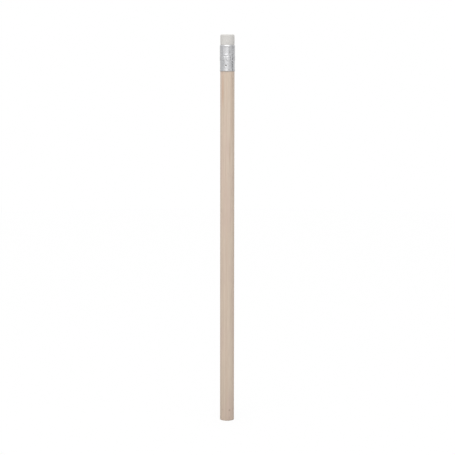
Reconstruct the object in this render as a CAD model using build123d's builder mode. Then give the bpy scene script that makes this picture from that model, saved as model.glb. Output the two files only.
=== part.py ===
"""Unsharpened round wooden pencil with a pressed ferrule and an eraser, in millimetres.

The pencil stands on its flat cut end: the origin is the centre of that end, and +Z runs along the
lead to the eraser. -Y is the front. Two grooved slats are glued face to face round the lead, turned
round, and turned down at the top to a tenon. The ferrule is thin sheet pressed over the tenon and
the eraser, embossed with shallow flutes and a row of round bosses, and staked into the wood with
a prick punch.
"""

import os
from math import radians, sin, tan

from build123d import *

# Casing: two slats, glued on the plane Y = 0
casing_diameter = 6.9
casing_length = 172.3  # from the cut end to the shoulder under the ferrule
tenon_diameter = 6.58
tenon_length = 5.7
end_easing = 0.08  # how far the saw-cut edge is worn back
glue_thickness = 0.06

lead_diameter = 2.2

# Ferrule: its wall lies on the tenon in the plain band, and every height is above its lower edge
ferrule_length = 12.65
ferrule_wall = 0.29
lip_flare = 0.07  # how far the lower lip stands out from the plain band
lip_height = 0.55
lip_slope_height = 0.4
waist_depth = 0.03  # how far staking draws the plain band in
waist_height = 2.8
collar_height = 7.95
collar_rise = 0.1
collar_slope_height = 0.25
mouth_draw = 0.1  # how far the mouth is drawn in from the plain band's radius
mouth_roll_height = 0.6

# Embossing: angles are counted about Z from the front towards +X
flute_count = 8
flute_angle = -15.0
flute_centre_height = 10.05
flute_length = 3.85
flute_depth = 0.17  # from the collar
boss_count = 8
boss_angle = 7.5
boss_centre_height = 6.2
boss_diameter = 2.2  # across its crown
boss_rise = 0.12
boss_draft = 30.0

# Stakes: a conical punch dimples the sheet, and its point pricks through into the wood
stake_count = 3
stake_angle = -12.0
stake_depth = 0.34
stake_draft = 55.0  # half the punch's point angle
prick_diameter = 0.55
prick_depth = 1.1  # from the plain band's outer face

# Eraser: a soft plug that fills the ferrule above the tenon and swells over its mouth
eraser_exposed = 5.05
eraser_diameter = 6.92
eraser_heel_diameter = 6.8  # where it sits on the ferrule's mouth
eraser_heel_height = 0.8
eraser_top_radius = 0.7

casing_radius = casing_diameter / 2
tenon_radius = tenon_diameter / 2
lead_radius = lead_diameter / 2
slat_length = casing_length + tenon_length
ferrule_base = casing_length
ferrule_top = ferrule_base + ferrule_length
overall_length = ferrule_top + eraser_exposed
band_radius = tenon_radius + ferrule_wall  # outer radius of the ferrule's plain band
collar_radius = band_radius + collar_rise
crest_radius = band_radius + boss_rise
boss_height = ferrule_base + boss_centre_height
flute_height = ferrule_base + flute_centre_height
stake_height = ferrule_base + waist_height
front = -90.0  # the front's angle about Z from +X


def turned(profile):
    """A solid turned about Z from (radius, height) points that run from its foot to its top."""
    with BuildPart() as blank:
        with BuildSketch(Plane.XZ):
            with BuildLine():
                wall = Polyline(*profile)
                Polyline(wall @ 0, (0, profile[0][1]), (0, profile[-1][1]), wall @ 1)
            make_face()
        revolve(axis=Axis.Z)
    return blank.part


def outward(radius, count, angle, height):
    """Places round the pencil at one height, each with its Z axis pointing straight out."""
    ring = PolarLocations(radius, count, start_angle=front + angle)
    return [Pos(0, 0, height) * place * Rot(0, 90, 0) for place in ring]


def ferrule_blank(inset):
    """The ferrule's form before it is embossed, moved inset in from its outer face."""
    lip_top = ferrule_base + lip_height
    collar_foot = ferrule_base + collar_height
    profile = [
        (band_radius + lip_flare, ferrule_base),
        (band_radius + lip_flare, lip_top),
        (band_radius, lip_top + lip_slope_height),
        (band_radius - waist_depth, stake_height),
        (band_radius, collar_foot - collar_slope_height),
        (collar_radius, collar_foot),
        (collar_radius, ferrule_top - mouth_roll_height),
        (band_radius - mouth_draw, ferrule_top),
    ]
    return turned([(radius - inset, height) for radius, height in profile])


def ferrule_form(inset):
    """All that lies within the ferrule's fluted and staked skin, taken inset in from its face."""
    flute_tool_radius = ((flute_length / 2) ** 2 + flute_depth**2) / (2 * flute_depth)
    flute_reach = collar_radius - flute_depth + flute_tool_radius
    punch_tip = band_radius - stake_depth - inset / sin(radians(stake_draft))
    punch_length = casing_radius
    with BuildPart() as form:
        add(ferrule_blank(inset))
        with Locations((0, 0, flute_height)):
            with PolarLocations(flute_reach, flute_count, start_angle=front + flute_angle):
                Sphere(flute_tool_radius + inset, mode=Mode.SUBTRACT)
        with Locations(*outward(punch_tip, stake_count, stake_angle, stake_height)):
            Cone(
                0,
                punch_length * tan(radians(stake_draft)),
                punch_length,
                align=(Align.CENTER, Align.CENTER, Align.MIN),
                mode=Mode.SUBTRACT,
            )
    return form.part


def prick_holes(part):
    """The punch's pricks through the sheet and into the wood, cut out of part."""
    with BuildPart() as pricked:
        add(part)
        with Locations(*outward(band_radius - prick_depth, stake_count, stake_angle, stake_height)):
            Cylinder(
                prick_diameter / 2,
                prick_depth,
                align=(Align.CENTER, Align.CENTER, Align.MIN),
                mode=Mode.SUBTRACT,
            )
    return pricked.part


inner_form = ferrule_form(ferrule_wall)

# The bosses are drafted studs, solid with the sheet, and their crowns are turned to the crest
boss_reach = boss_diameter / 3  # how far inside its crown a stud starts
with BuildPart() as boss_ring:
    with Locations(*outward(crest_radius - boss_reach, boss_count, boss_angle, boss_height)):
        Cone(
            boss_diameter / 2 + boss_reach * tan(radians(boss_draft)),
            boss_diameter / 2,
            boss_reach,
            align=(Align.CENTER, Align.CENTER, Align.MIN),
        )
    with Locations((0, 0, boss_height)):
        Cylinder(crest_radius, 2 * boss_diameter, mode=Mode.INTERSECT)

with BuildPart() as ferrule_shell:
    add(ferrule_form(0))
    add(boss_ring.part)
    add(inner_form, mode=Mode.SUBTRACT)

with BuildPart() as ferrule:
    add(prick_holes(ferrule_shell.part))

# The glued and turned wood, before the two slats and their glue are told apart
with BuildPart() as tenon:
    with Locations((0, 0, ferrule_base)):
        Cylinder(tenon_radius, tenon_length, align=(Align.CENTER, Align.CENTER, Align.MIN))
    add(inner_form, mode=Mode.INTERSECT)

with BuildPart() as turned_wood:
    add(
        turned(
            [
                (casing_radius - end_easing, 0),
                (casing_radius, end_easing),
                (casing_radius, casing_length),
            ]
        )
    )
    add(prick_holes(tenon.part))
    Cylinder(
        lead_radius,
        slat_length,
        align=(Align.CENTER, Align.CENTER, Align.MIN),
        mode=Mode.SUBTRACT,
    )

glue_front = Plane.XZ.offset(glue_thickness / 2)
glue_back = Plane.XZ.offset(-glue_thickness / 2)

with BuildPart() as slat_front:
    add(turned_wood.part)
    split(bisect_by=glue_front, keep=Keep.TOP)

with BuildPart() as slat_back:
    add(turned_wood.part)
    split(bisect_by=glue_back, keep=Keep.BOTTOM)

with BuildPart() as glue_line:
    add(turned_wood.part)
    split(bisect_by=glue_front, keep=Keep.BOTTOM)
    split(bisect_by=glue_back, keep=Keep.TOP)

with BuildPart() as lead:
    Cylinder(lead_radius, slat_length, align=(Align.CENTER, Align.CENTER, Align.MIN))

with BuildPart() as eraser:
    add(inner_form)
    split(bisect_by=Plane.XY.offset(slat_length), keep=Keep.TOP)
    add(
        turned(
            [
                (eraser_heel_diameter / 2, ferrule_top),
                (eraser_diameter / 2, ferrule_top + eraser_heel_height),
                (eraser_diameter / 2, overall_length),
            ]
        )
    )
    fillet(eraser.faces().sort_by(Axis.Z)[-1].edges(), radius=eraser_top_radius)

pieces = {
    "slat_front": slat_front,
    "slat_back": slat_back,
    "glue_line": glue_line,
    "lead": lead,
    "ferrule": ferrule,
    "eraser": eraser,
}
os.makedirs("parts", exist_ok=True)
for name, piece in pieces.items():
    piece.part.label = name
    export_step(piece.part, f"parts/{name}.step")
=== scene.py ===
"""Unsharpened round wooden pencil with a pressed ferrule and an eraser, standing on its cut end.

The pencil's axis is Z, the front is -Y, and angles on it are counted from the front towards +X.
"""

from math import atan2, cos, degrees, pi, radians, sin, sqrt, tau

import bmesh
import bpy
from mathutils import Matrix, Vector, noise


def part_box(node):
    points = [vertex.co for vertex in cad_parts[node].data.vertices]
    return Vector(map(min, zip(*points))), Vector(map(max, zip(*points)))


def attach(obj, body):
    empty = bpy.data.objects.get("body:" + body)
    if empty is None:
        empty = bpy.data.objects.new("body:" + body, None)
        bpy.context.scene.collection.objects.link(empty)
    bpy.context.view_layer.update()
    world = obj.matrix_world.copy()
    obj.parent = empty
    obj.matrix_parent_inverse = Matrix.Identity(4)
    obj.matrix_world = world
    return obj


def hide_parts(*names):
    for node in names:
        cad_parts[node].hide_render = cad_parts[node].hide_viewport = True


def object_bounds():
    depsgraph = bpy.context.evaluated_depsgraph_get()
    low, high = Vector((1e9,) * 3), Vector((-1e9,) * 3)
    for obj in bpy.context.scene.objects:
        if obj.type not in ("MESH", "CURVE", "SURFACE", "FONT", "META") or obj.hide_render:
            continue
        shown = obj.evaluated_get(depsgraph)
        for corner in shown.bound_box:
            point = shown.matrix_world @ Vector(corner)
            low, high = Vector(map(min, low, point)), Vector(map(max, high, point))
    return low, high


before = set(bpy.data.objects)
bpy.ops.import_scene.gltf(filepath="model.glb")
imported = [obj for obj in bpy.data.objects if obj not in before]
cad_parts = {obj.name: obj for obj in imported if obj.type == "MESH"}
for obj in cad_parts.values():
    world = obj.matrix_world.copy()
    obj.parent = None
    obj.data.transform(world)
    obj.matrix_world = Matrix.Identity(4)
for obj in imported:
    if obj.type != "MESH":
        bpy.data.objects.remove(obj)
cad_lo, cad_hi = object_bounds()

mm = 0.001
merge_distance = 0.0005 * mm
sharp_edge = radians(40)

# What the frame gives
slat_lo, slat_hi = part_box("slat_front")
ferrule_lo, ferrule_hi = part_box("ferrule")
eraser_lo, eraser_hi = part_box("eraser")
lead_lo, lead_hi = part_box("lead")
glue_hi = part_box("glue_line")[1]
casing_radius = -slat_lo.y
slat_top = slat_hi.z
glue_half = glue_hi.y
lead_radius = lead_hi.y
ferrule_base = ferrule_lo.z
ferrule_length = ferrule_hi.z - ferrule_lo.z
eraser_radius = eraser_hi.y
eraser_top = eraser_hi.z

# Casing
tenon_radius = 3.29 * mm
tenon_gap = 0.01 * mm
tenon_end_radius = 3.1 * mm
tenon_slope_foot = 4.4 * mm
tenon_slope_head = 4.9 * mm
end_easing = 0.08 * mm
casing_steps = 144
lead_easing = 0.06 * mm
lead_easing_height = 0.05 * mm
lead_steps = 64

# Ferrule sheet: heights are above its lower edge
sheet_wall = 0.29 * mm
band_radius = tenon_radius + sheet_wall
lip_flare = 0.07 * mm
lip_slope_foot = 0.5 * mm
lip_slope_head = 1.0 * mm
curl_depth = 0.13 * mm
curl_height = 0.25 * mm
waist_depth = 0.03 * mm
waist_foot = 0.9 * mm
waist_height = 2.8 * mm
waist_head = 4.5 * mm
collar_rise = 0.11 * mm
collar_height = 7.8 * mm
collar_slope_foot = collar_height - 0.3 * mm
collar_slope_head = collar_height + 0.2 * mm
mouth_draw = 0.21 * mm
mouth_roll = 0.6 * mm
mouth_curve = 1.4
flute_count = 8
flute_angle = radians(-15)
flute_foot = 8.0 * mm
flute_head = 12.1 * mm
flute_depth = 0.16 * mm
flute_runout = 0.5 * mm
boss_count = 8
boss_angle = radians(7.5)
boss_height = 6.2 * mm
boss_crown = 1.0 * mm
boss_foot = 1.42 * mm
boss_rise = 0.12 * mm
stake_count = 3
stake_angle = radians(-12)
stake_depth = 0.3 * mm
stake_radius = 0.5 * mm
stake_floor = 0.1 * mm
prick_radius = 0.31 * mm
prick_reach = 2 * mm
circle_reach = 0.35 * mm
square_reach = 0.8 * mm
sheet_row = 0.1 * mm
sheet_steps = 240
lining_fine_head = 3.7 * mm
lining_skip = 4

# Eraser
heel_radius = 3.4 * mm
heel_height = 0.8 * mm
crown_rounding = 0.7 * mm
crown_steps = 8
plug_row = 0.4 * mm
plug_gap = 0.03 * mm
plug_core = 2 * mm
eraser_rows = 24
eraser_steps = 128
eraser_sink = 0.028 * mm
lump_depth = 0.02 * mm
pimple_depth = 0.008 * mm

# Colours
pale_heartwood, late_heartwood = (0.735, 0.61, 0.495, 1), (0.66, 0.51, 0.40, 1)
pale_sapwood, late_sapwood = (0.72, 0.60, 0.48, 1), (0.62, 0.48, 0.37, 1)
fleck_brown = (0.36, 0.24, 0.16, 1)
ruddy_cloud = (0.69, 0.52, 0.45, 1)
low_end_brown = (0.40, 0.31, 0.26, 1)
foot_shade_brown = (0.22, 0.16, 0.13, 1)
shaded_brown = (0.25, 0.20, 0.17, 1)
prick_shade_brown = (0.07, 0.05, 0.04, 1)
graphite_dark, graphite_light = (0.045, 0.045, 0.05, 1), (0.095, 0.095, 0.10, 1)
glue_dark, glue_light = (0.47, 0.36, 0.26, 1), (0.60, 0.48, 0.37, 1)
sheet_dull, sheet_bright = (0.70, 0.70, 0.715, 1), (0.78, 0.78, 0.79, 1)
drawing_grey = (0.55, 0.55, 0.56, 1)
pressed_in_shade_grey = (0.42, 0.42, 0.43, 1)
dark_reflection_grey = (0.33, 0.32, 0.31, 1)
seam_shade_grey = (0.33, 0.31, 0.29, 1)
rubber_dark, rubber_light = (0.705, 0.685, 0.655, 1), (0.745, 0.725, 0.70, 1)
crumb_white = (0.80, 0.79, 0.77, 1)
floor_grey, white = (0.62, 0.62, 0.62, 1), (1, 1, 1, 1)

# Marks: angle in degrees, height, half width and half height in millimetres, and strength.
# Heights are from the cut end on the wood, where a colour follows, and from its lower edge on the sheet.
wood_marks = (
    (-39, 163, 0.5, 13, 0.55, (0.62, 0.36, 0.22, 1)),
    (21, 133, 0.45, 11, 0.35, (0.52, 0.38, 0.26, 1)),
    (22, 5.3, 0.75, 0.8, 0.55, (0.36, 0.25, 0.19, 1)),
    (-41, 5.5, 0.6, 0.6, 0.35, (0.42, 0.30, 0.24, 1)),
    (-12, 105, 0.3, 6, 0.3, (0.78, 0.66, 0.52, 1)),
    (35, 60, 0.3, 16, 0.25, (0.55, 0.38, 0.30, 1)),
)
# painted dark reflections on the sheet: one low on the lip, one high among the flutes
sheet_dark_reflections = ((9, 0.85, 1.0, 0.6, 0.5), (17, 9.2, 0.55, 0.55, 0.5))

# Studio: the walls are levels at angles in degrees
walls = (
    (-180, 0.70), (-100, 0.63), (-62, 0.66), (-11, 1.10), (40, 0.70), (70, 0.66),
    (76.5, 0.66), (78.5, 0.07), (92.5, 0.07), (94.5, 0.66), (180, 0.70),
)
overhead_level = 1.45
floor_radius = 0.95
floor_glow = 0.91
box_angle, box_rise, box_distance, box_size, box_power = -11, 48, 1.2, 1.0, 1.7
box_target = 0.1
camera_side, camera_distance = 0.00015, 0.76
camera_pitch, camera_roll = 7.046, 0.0757
lens_length, sensor_width = 123.61, 36


def node(tree, kind, inputs=None, **settings):
    """A new shader node with its settings, and its inputs linked or set."""
    made = tree.nodes.new(kind)
    for name, value in settings.items():
        setattr(made, name, value)
    for socket, value in (inputs or {}).items():
        if isinstance(value, bpy.types.NodeSocket):
            tree.links.new(value, made.inputs[socket])
        else:
            made.inputs[socket].default_value = value
    return made


def maths(tree, operation, a, b=0.0):
    return node(tree, "ShaderNodeMath", {0: a, 1: b}, operation=operation).outputs[0]


def vector(tree, operation, a, b):
    made = node(tree, "ShaderNodeVectorMath", {0: a, 1: b}, operation=operation)
    return made.outputs["Value" if operation in ("DISTANCE", "LENGTH") else "Vector"]


def ramp(tree, value, low, high, start=0.0, end=1.0):
    """value from low to high brought smoothly to start to end."""
    inputs = {"Value": value, "From Min": low, "From Max": high, "To Min": start, "To Max": end}
    return node(tree, "ShaderNodeMapRange", inputs, interpolation_type="SMOOTHSTEP").outputs[0]


def mixed(tree, amount, a, b, blend="MIX"):
    made = node(tree, "ShaderNodeMix", {0: amount, 6: a, 7: b}, data_type="RGBA", blend_type=blend)
    return made.outputs[2]


def grain(tree, place, scale, detail=2.0, roughness=0.5):
    inputs = {"Vector": place, "Scale": scale, "Detail": detail, "Roughness": roughness}
    return node(tree, "ShaderNodeTexNoise", inputs).outputs[0]


def new_material(name, specular=0.5, **constants):
    """A material with its tree, its shader, and Object coordinates."""
    material = bpy.data.materials.new(name)
    material.use_nodes = True
    tree = material.node_tree
    shader = tree.nodes["Principled BSDF"]
    shader.inputs["Specular IOR Level"].default_value = specular
    for socket, value in constants.items():
        shader.inputs[socket.title()].default_value = value
    place = node(tree, "ShaderNodeTexCoord").outputs["Object"]
    return material, tree, shader, place


def bump(tree, shader, height, distance, strength=1.0):
    made = node(tree, "ShaderNodeBump", {"Height": height, "Distance": distance, "Strength": strength})
    tree.links.new(made.outputs[0], shader.inputs["Normal"])


def on_barrel(angle, height, radius):
    return Vector((radius * sin(angle), -radius * cos(angle), height))


def blot(tree, place, angle, height, wide, tall, radius=casing_radius):
    """1 at a spot on the barrel, and 0 past its half sizes, in degrees and millimetres."""
    away = vector(tree, "SUBTRACT", place, on_barrel(radians(angle), height * mm, radius))
    away = vector(tree, "MULTIPLY", away, (1 / (wide * mm), 1 / (wide * mm), 1 / (tall * mm)))
    return ramp(tree, vector(tree, "LENGTH", away, (0, 0, 0)), 0.15, 1.0, 1.0, 0.0)


def bare_wood(name, heart, pale, late):
    """Sanded bare wood: growth rings round a far heart, and fibres drawn out along Z."""
    material, tree, shader, place = new_material(name, roughness=0.62, specular=0.35)
    slow = vector(tree, "MULTIPLY", place, (1, 1, 0.035))
    fine = vector(tree, "MULTIPLY", place, (1, 1, 0.02))
    short = vector(tree, "MULTIPLY", place, (1, 1, 0.06))
    level = vector(tree, "MULTIPLY", place, (1, 1, 0))
    wander = maths(tree, "MULTIPLY", maths(tree, "SUBTRACT", grain(tree, slow, 260), 0.5), 1.6 * mm)
    reach = maths(tree, "ADD", vector(tree, "DISTANCE", level, heart), wander)
    ring = maths(tree, "FRACT", maths(tree, "DIVIDE", reach, 1.15 * mm))
    late_wood = ramp(tree, ring, 0.25, 0.96)
    cut = ramp(tree, ring, 0.96, 1.0)
    late_wood = maths(tree, "MULTIPLY", late_wood, maths(tree, "SUBTRACT", 1.0, cut))
    colour = mixed(tree, maths(tree, "MULTIPLY", late_wood, 0.55), pale, late)
    fibres = grain(tree, fine, 2300, 4, 0.6)
    colour = mixed(tree, 0.55, colour, ramp(tree, fibres, 0.3, 0.7, 0.90, 1.07), "MULTIPLY")
    hairs = grain(tree, fine, 7600, 2, 0.5)
    colour = mixed(tree, 0.4, colour, ramp(tree, hairs, 0.3, 0.7, 0.90, 1.06), "MULTIPLY")
    flecks = ramp(tree, grain(tree, short, 5200, 1, 0.4), 0.66, 0.76)
    colour = mixed(tree, maths(tree, "MULTIPLY", flecks, 0.22), colour, fleck_brown)
    clouds = grain(tree, vector(tree, "MULTIPLY", place, (1, 1, 0.25)), 190, 3, 0.5)
    colour = mixed(tree, ramp(tree, clouds, 0.42, 0.68, 0.0, 0.35), colour, ruddy_cloud)
    for angle, height, wide, tall, amount, tint in wood_marks:
        spot = maths(tree, "MULTIPLY", blot(tree, place, angle, height, wide, tall), amount)
        colour = mixed(tree, spot, colour, tint)
    height = node(tree, "ShaderNodeSeparateXYZ", {0: place}).outputs[2]
    # the wood drawn darker towards the cut end over its lowest 26 mm
    darker_low = ramp(tree, height, 0, 26 * mm, 0.09, 0.0)
    colour = mixed(tree, darker_low, colour, low_end_brown)
    # painted shade: the last half millimetre above the cut end, where the pencil meets the floor, drawn
    # darker
    foot_shade = ramp(tree, height, 0.05 * mm, 0.5 * mm, 0.38, 0.0)
    colour = mixed(tree, foot_shade, colour, foot_shade_brown)
    # painted shadow of the ferrule's lip on the wood just below it
    lip_shadow = ramp(tree, height, ferrule_base - 0.7 * mm, ferrule_base, 0.0, 0.22)
    colour = mixed(tree, lip_shadow, colour, shaded_brown)
    # painted shade of the prick holes: a dark spot on the tenon behind each stake, standing in for a hole
    # into the wood
    for turn in range(stake_count):
        angle = degrees(stake_angle) + turn * 360 / stake_count
        hole = blot(tree, place, angle, (ferrule_base + waist_height) / mm, 0.6, 0.6, tenon_radius)
        colour = mixed(tree, hole, colour, prick_shade_brown)
    tree.links.new(colour, shader.inputs["Base Color"])
    bump(tree, shader, maths(tree, "ADD", fibres, hairs), 0.02 * mm, 0.35)
    return material


def graphite():
    material, tree, shader, place = new_material("graphite", roughness=0.45, metallic=0.25)
    specks = grain(tree, place, 9000, 3, 0.6)
    colour = mixed(tree, ramp(tree, specks, 0.4, 0.7), graphite_dark, graphite_light)
    tree.links.new(colour, shader.inputs["Base Color"])
    scores = grain(tree, vector(tree, "MULTIPLY", place, (1, 0.04, 1)), 5200, 2, 0.5)
    bump(tree, shader, maths(tree, "ADD", specks, scores), 0.03 * mm, 0.5)
    return material


def dried_glue():
    material, tree, shader, place = new_material("dried glue", roughness=0.5)
    fine = vector(tree, "MULTIPLY", place, (1, 1, 0.03))
    fibres = grain(tree, fine, 3000, 3, 0.6)
    colour = mixed(tree, ramp(tree, fibres, 0.3, 0.7), glue_dark, glue_light)
    tree.links.new(colour, shader.inputs["Base Color"])
    bump(tree, shader, fibres, 0.02 * mm, 0.3)
    return material


def pressed_sheet():
    """Bright sheet with drawing marks round it and scuffs, with painted dark reflections, and painted shade
    in its pressed-in places and along its lower edge.
    """
    material, tree, shader, place = new_material("pressed sheet", metallic=1.0)
    press = node(tree, "ShaderNodeAttribute", attribute_name="press").outputs["Fac"]
    marks = grain(tree, vector(tree, "MULTIPLY", place, (0.25, 0.25, 1)), 5200, 4, 0.65)
    scuffs = grain(tree, place, 900, 4, 0.6)
    colour = mixed(tree, ramp(tree, scuffs, 0.35, 0.7), sheet_dull, sheet_bright)
    colour = mixed(tree, ramp(tree, marks, 0.55, 0.75, 0.0, 0.25), colour, drawing_grey)
    # painted shade: the places pressed in deepest, the stakes most, drawn darker
    colour = mixed(tree, ramp(tree, press, 0.6, 1.0, 0.0, 0.2), colour, pressed_in_shade_grey)
    # painted dark reflections
    for angle, height, wide, tall, amount in sheet_dark_reflections:
        dark_reflection = blot(tree, place, angle, ferrule_base / mm + height, wide, tall, band_radius)
        colour = mixed(tree, maths(tree, "MULTIPLY", dark_reflection, amount), colour, dark_reflection_grey)
    height = node(tree, "ShaderNodeSeparateXYZ", {0: place}).outputs[2]
    # painted shade along the ferrule's lower edge, where it meets the wood
    edge = ramp(tree, height, ferrule_base + 0.05 * mm, ferrule_base + 0.4 * mm, 0.45, 0.0)
    colour = mixed(tree, edge, colour, seam_shade_grey)
    tree.links.new(colour, shader.inputs["Base Color"])
    tree.links.new(ramp(tree, scuffs, 0.3, 0.7, 0.24, 0.36), shader.inputs["Roughness"])
    bump(tree, shader, maths(tree, "ADD", marks, scuffs), 0.03 * mm, 0.5)
    return material


def chalky_rubber():
    material, tree, shader, place = new_material("chalky rubber", roughness=0.85, specular=0.3)
    clouds = grain(tree, place, 420, 4, 0.6)
    crumbs = grain(tree, place, 5200, 3, 0.6)
    colour = mixed(tree, ramp(tree, clouds, 0.3, 0.7), rubber_dark, rubber_light)
    colour = mixed(tree, ramp(tree, crumbs, 0.62, 0.75, 0.0, 0.3), colour, crumb_white)
    tree.links.new(colour, shader.inputs["Base Color"])
    bump(tree, shader, maths(tree, "ADD", clouds, crumbs), 0.05 * mm, 0.4)
    return material


def turned(profile, steps, closed=False):
    """A mesh turned about Z from (radius, height) points."""
    shape = bmesh.new()
    points = [shape.verts.new((radius, 0, height)) for radius, height in profile]
    ends = points[1:] + points[:1] if closed else points[1:]
    edges = [shape.edges.new(pair) for pair in zip(points, ends)]
    bmesh.ops.spin(
        shape,
        geom=points + edges,
        axis=(0, 0, 1),
        cent=(0, 0, 0),
        angle=tau,
        steps=steps,
        use_merge=True,
    )
    bmesh.ops.remove_doubles(shape, verts=shape.verts, dist=merge_distance)
    return shape


def placed(name, shape, material, replaced):
    """The piece made from a finished mesh, riding on the pencil in place of a CAD node."""
    bmesh.ops.recalc_face_normals(shape, faces=shape.faces)
    for face in shape.faces:
        face.smooth = True
    for edge in shape.edges:
        edge.smooth = len(edge.link_faces) == 2 and edge.calc_face_angle(pi) < sharp_edge
    mesh = bpy.data.meshes.new(name)
    shape.to_mesh(mesh)
    shape.free()
    mesh.materials.append(material)
    piece = bpy.data.objects.new(name, mesh)
    bpy.context.collection.objects.link(piece)
    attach(piece, "root")
    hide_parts(replaced)
    return piece


def swell(value, low, high):
    """0 at low to 1 at high, smoothly."""
    t = min(max((value - low) / (high - low), 0.0), 1.0)
    return t * t * (3 - 2 * t)


def sheet_radius(height):
    """The ferrule's outer radius at a height above its lower edge, before it is embossed."""
    lip = lip_flare * (1 - swell(height, lip_slope_foot, lip_slope_head))
    curl = curl_depth * max(0.0, 1 - height / curl_height) ** 2
    waist = waist_depth * swell(height, waist_foot, waist_height)
    waist *= 1 - swell(height, waist_height, waist_head)
    collar = collar_rise * swell(height, collar_slope_foot, collar_slope_head)
    mouth = mouth_draw * max(0.0, 1 - (ferrule_length - height) / mouth_roll) ** mouth_curve
    return band_radius + lip - curl - waist + collar - mouth


def round_the_ring(angle, first, count):
    """The angle from the nearest of count equal places round the pencil."""
    pitch = tau / count
    return (angle - first + pitch / 2) % pitch - pitch / 2


def press_depth(angle, height):
    """How far the embossing moves the sheet in at a place: bosses move it out."""
    turn = round_the_ring(angle, flute_angle, flute_count)
    flute = flute_depth * (1 - (turn * flute_count / pi) ** 2)
    flute *= swell(height, flute_foot, flute_foot + flute_runout)
    flute *= 1 - swell(height, flute_head - flute_runout, flute_head)
    across = round_the_ring(angle, boss_angle, boss_count) * band_radius
    out = sqrt(across**2 + (height - boss_height) ** 2)
    boss = boss_rise * (1 - swell(out, boss_crown, boss_foot))
    across = round_the_ring(angle, stake_angle, stake_count) * band_radius
    out = sqrt(across**2 + (height - waist_height) ** 2)
    stake = stake_depth * (1 - swell(out, stake_floor, stake_radius))
    return flute - boss + stake


def drawn_to_circle(angle, height):
    """A grid place near a stake moved so that the squares round its middle are circles."""
    across = round_the_ring(angle, stake_angle, stake_count) * band_radius
    along = height - waist_height
    square, out = max(abs(across), abs(along)), sqrt(across**2 + along**2)
    if out == 0 or square > square_reach:
        return angle, height
    share = 1 + (square / out - 1) * (1 - swell(square, circle_reach, square_reach))
    return angle + across * (share - 1) / band_radius, waist_height + along * share


def ferrule_sheet():
    """The embossed and staked sheet, with fewer rows in its lining above the stakes."""
    rows = [sheet_row * row for row in range(int(ferrule_length / sheet_row) + 1)] + [ferrule_length]
    inner_rows = [row for n, row in enumerate(rows) if row < lining_fine_head or n % lining_skip == 0]
    skin = [(sheet_radius(row), ferrule_base + row) for row in rows]
    lining = [(sheet_radius(row) - sheet_wall, ferrule_base + row) for row in reversed(inner_rows)]
    shape = turned(skin + lining, sheet_steps, closed=True)
    press = shape.verts.layers.float.new("press")
    for vert in shape.verts:
        radius, height = Vector(vert.co.xy).length, vert.co.z - ferrule_base
        angle, height = drawn_to_circle(atan2(vert.co.x, -vert.co.y), height)
        depth = press_depth(angle, height)
        vert[press] = 0.5 + depth / (4 * flute_depth)
        vert.co = on_barrel(angle, ferrule_base + height, radius - depth)
    prick(shape)
    return shape


def in_prick(vert, middle, out):
    """Whether a corner of the skin or the lining is within the punch's hole at middle."""
    away = vert.co - middle
    along = away.dot(out)
    return along > -prick_reach and (away - out * along).length < prick_radius


def prick(shape):
    """Open the punch's holes through the sheet in the middles of the stakes."""
    for turn in range(stake_count):
        angle = stake_angle + turn * tau / stake_count
        out = on_barrel(angle, 0, 1)
        middle = on_barrel(angle, ferrule_base + waist_height, band_radius)
        hole = [face for face in shape.faces if all(in_prick(vert, middle, out) for vert in face.verts)]
        bmesh.ops.delete(shape, geom=hole, context="FACES")
        bmesh.ops.bridge_loops(shape, edges=[edge for edge in shape.edges if edge.is_boundary])


def slat(side):
    """One grooved slat, turned with its eased end and its tenon, and parted from the other."""
    profile = [
        (lead_radius, slat_lo.z),
        (casing_radius - end_easing, slat_lo.z),
        (casing_radius - 0.3 * end_easing, 0.3 * end_easing),
        (casing_radius, end_easing),
        (casing_radius, ferrule_base),
        (tenon_radius - tenon_gap, ferrule_base),
        (tenon_radius - tenon_gap, ferrule_base + tenon_slope_foot),
        (tenon_end_radius, ferrule_base + tenon_slope_head),
        (tenon_end_radius, slat_top),
        (lead_radius, slat_top),
    ]
    shape = turned(profile, casing_steps, closed=True)
    bmesh.ops.bisect_plane(
        shape,
        geom=shape.verts[:] + shape.edges[:] + shape.faces[:],
        dist=merge_distance,
        plane_co=(0, side * glue_half, 0),
        plane_no=(0, side, 0),
        clear_inner=True,
    )
    bmesh.ops.holes_fill(shape, edges=[edge for edge in shape.edges if edge.is_boundary])
    return shape


def lead_rod():
    profile = [
        (0, lead_lo.z),
        (lead_radius - lead_easing, lead_lo.z),
        (lead_radius, lead_easing_height),
        (lead_radius, lead_hi.z),
        (0, lead_hi.z),
    ]
    return turned(profile, lead_steps)


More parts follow.
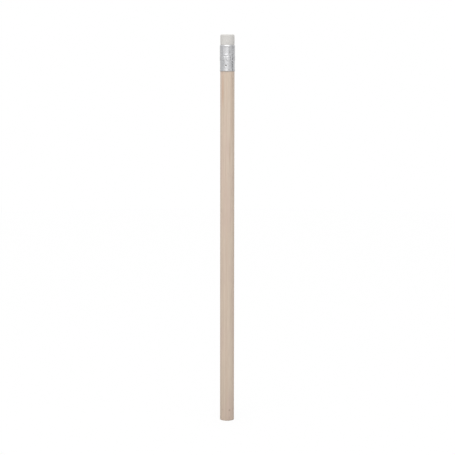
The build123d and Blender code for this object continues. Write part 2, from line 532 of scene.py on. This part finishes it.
def eraser_plug():
    """The eraser, moulded to the sheet inside the ferrule and slightly lumpy outside it."""
    mouth = ferrule_base + ferrule_length
    rows = [eraser_lo.z + row * plug_row for row in range(int((mouth - eraser_lo.z) / plug_row))]
    profile = [(0, eraser_lo.z)]
    profile += [(sheet_radius(z - ferrule_base) - sheet_wall - plug_gap, z) for z in rows]
    profile += [(heel_radius - 0.3 * mm, mouth - 0.1 * mm), (heel_radius - plug_gap, mouth)]
    for row in range(1, eraser_rows + 1):
        z = mouth + (eraser_top - crown_rounding - mouth) * row / eraser_rows
        bulge = swell(z - mouth, 0, heel_height)
        profile.append((heel_radius + (eraser_radius - heel_radius) * bulge, z))
    for step in range(1, crown_steps + 1):
        turn = step * pi / 2 / crown_steps
        radius = eraser_radius - crown_rounding * (1 - cos(turn))
        profile.append((radius, eraser_top - crown_rounding * (1 - sin(turn))))
    flat = eraser_radius - crown_rounding
    profile += [(flat * (1 - step / crown_steps), eraser_top) for step in range(1, crown_steps + 1)]
    shape = turned(profile, eraser_steps)
    for vert in shape.verts:
        out = Vector((vert.co.x, vert.co.y, 0))
        if vert.co.z >= mouth:
            lump = noise.noise(vert.co * 420) * lump_depth + noise.noise(vert.co * 1500) * pimple_depth
            vert.co -= out.normalized() * (eraser_sink + lump) * min(1, out.length / plug_core)
        elif out.length > plug_core:
            angle = atan2(vert.co.x, -vert.co.y)
            vert.co -= out.normalized() * press_depth(angle, vert.co.z - ferrule_base)
    return shape


def dress_pencil():
    """Make the visual pieces, each in place of its CAD node, and give the glue its material."""
    front_wood = bare_wood("front slat wood", (26 * mm, -38 * mm, 0), pale_heartwood, late_heartwood)
    back_wood = bare_wood("back slat wood", (-31 * mm, 33 * mm, 0), pale_sapwood, late_sapwood)
    placed("casing_front", slat(-1), front_wood, "slat_front")
    placed("casing_back", slat(1), back_wood, "slat_back")
    placed("graphite_rod", lead_rod(), graphite(), "lead")
    placed("ferrule_pressing", ferrule_sheet(), pressed_sheet(), "ferrule")
    placed("eraser_plug", eraser_plug(), chalky_rubber(), "eraser")
    glue = dried_glue()
    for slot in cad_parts["glue_line"].material_slots:
        slot.material = glue


def pale_floor():
    """A white floor that keeps the pencil's soft shadow."""
    shape = bmesh.new()
    bmesh.ops.create_circle(shape, cap_ends=True, segments=96, radius=floor_radius)
    mesh = bpy.data.meshes.new("floor")
    shape.to_mesh(mesh)
    shape.free()
    floor = bpy.data.objects.new("floor", mesh)
    bpy.context.collection.objects.link(floor)
    material = bpy.data.materials.new("white floor")
    material.use_nodes = True
    tree = material.node_tree
    tree.nodes.clear()
    seen = node(tree, "ShaderNodeLightPath").outputs["Is Camera Ray"]
    tone = mixed(tree, seen, floor_grey, white)
    matt = node(tree, "ShaderNodeBsdfDiffuse", {"Color": tone}).outputs[0]
    glow = node(tree, "ShaderNodeEmission", {"Color": white, "Strength": 1.0}).outputs[0]
    share = maths(tree, "MULTIPLY", seen, floor_glow)
    both = node(tree, "ShaderNodeMixShader", {0: share, 1: matt, 2: glow}).outputs[0]
    node(tree, "ShaderNodeOutputMaterial", {"Surface": both})
    mesh.materials.append(material)


def studio_world():
    """Soft white surroundings, brighter before the pencil, with one dark strip at its right."""
    world = bpy.data.worlds.new("studio")
    bpy.context.scene.world = world
    world.use_nodes = True
    tree = world.node_tree
    tree.nodes.clear()
    place = node(tree, "ShaderNodeTexCoord").outputs["Generated"]
    split = node(tree, "ShaderNodeSeparateXYZ", {0: place}).outputs
    angle = maths(tree, "ARCTAN2", split[0], maths(tree, "MULTIPLY", split[1], -1.0))
    turn = maths(tree, "ADD", maths(tree, "DIVIDE", angle, tau), 0.5)
    stops = node(tree, "ShaderNodeValToRGB", {0: turn})
    band = stops.color_ramp
    band.interpolation = "EASE"
    band.elements[0].position, band.elements[1].position = 0.0, 1.0
    for degree, _ in walls[1:-1]:
        band.elements.new(degree / 360 + 0.5)
    for stop, (_, level) in zip(band.elements, walls):
        stop.color = (level, level, level, 1)
    overhead = ramp(tree, split[2], 0.0, 0.9, 1.0, overhead_level)
    room = node(tree, "ShaderNodeBackground", {"Color": stops.outputs[0], "Strength": overhead})
    behind = node(tree, "ShaderNodeBackground", {"Color": white, "Strength": 1.0})
    seen = node(tree, "ShaderNodeLightPath").outputs["Is Camera Ray"]
    both = node(tree, "ShaderNodeMixShader", {0: seen, 1: room.outputs[0], 2: behind.outputs[0]}).outputs[0]
    node(tree, "ShaderNodeOutputWorld", {"Surface": both})


def soft_box():
    """The one lamp, above the camera and a little to its left."""
    lamp = bpy.data.lights.new("soft_box", "AREA")
    lamp.shape = "SQUARE"
    lamp.size = box_size
    lamp.energy = box_power
    box = bpy.data.objects.new("soft_box", lamp)
    bpy.context.collection.objects.link(box)
    middle = Vector((0, 0, box_target))
    rise = radians(box_rise)
    height, away = box_distance * sin(rise), box_distance * cos(rise)
    box.location = middle + on_barrel(radians(box_angle), height, away)
    box.rotation_euler = (middle - box.location).to_track_quat("-Z", "Y").to_euler()


def camera():
    """The camera, level with the pencil's top and looking down its front."""
    lens = bpy.data.cameras.new("camera")
    lens.lens = lens_length
    lens.sensor_width = sensor_width
    eye = bpy.data.objects.new("camera", lens)
    bpy.context.collection.objects.link(eye)
    eye.location = (camera_side, -camera_distance, cad_hi.z)
    pitch, roll = radians(90 - camera_pitch), radians(camera_roll)
    aim = Matrix.Rotation(pitch, 3, "X") @ Matrix.Rotation(roll, 3, "Z")
    eye.rotation_euler = aim.to_euler()
    bpy.context.scene.camera = eye


camera()
dress_pencil()
pale_floor()
studio_world()
soft_box()
bpy.context.scene.view_settings.view_transform = "Standard"
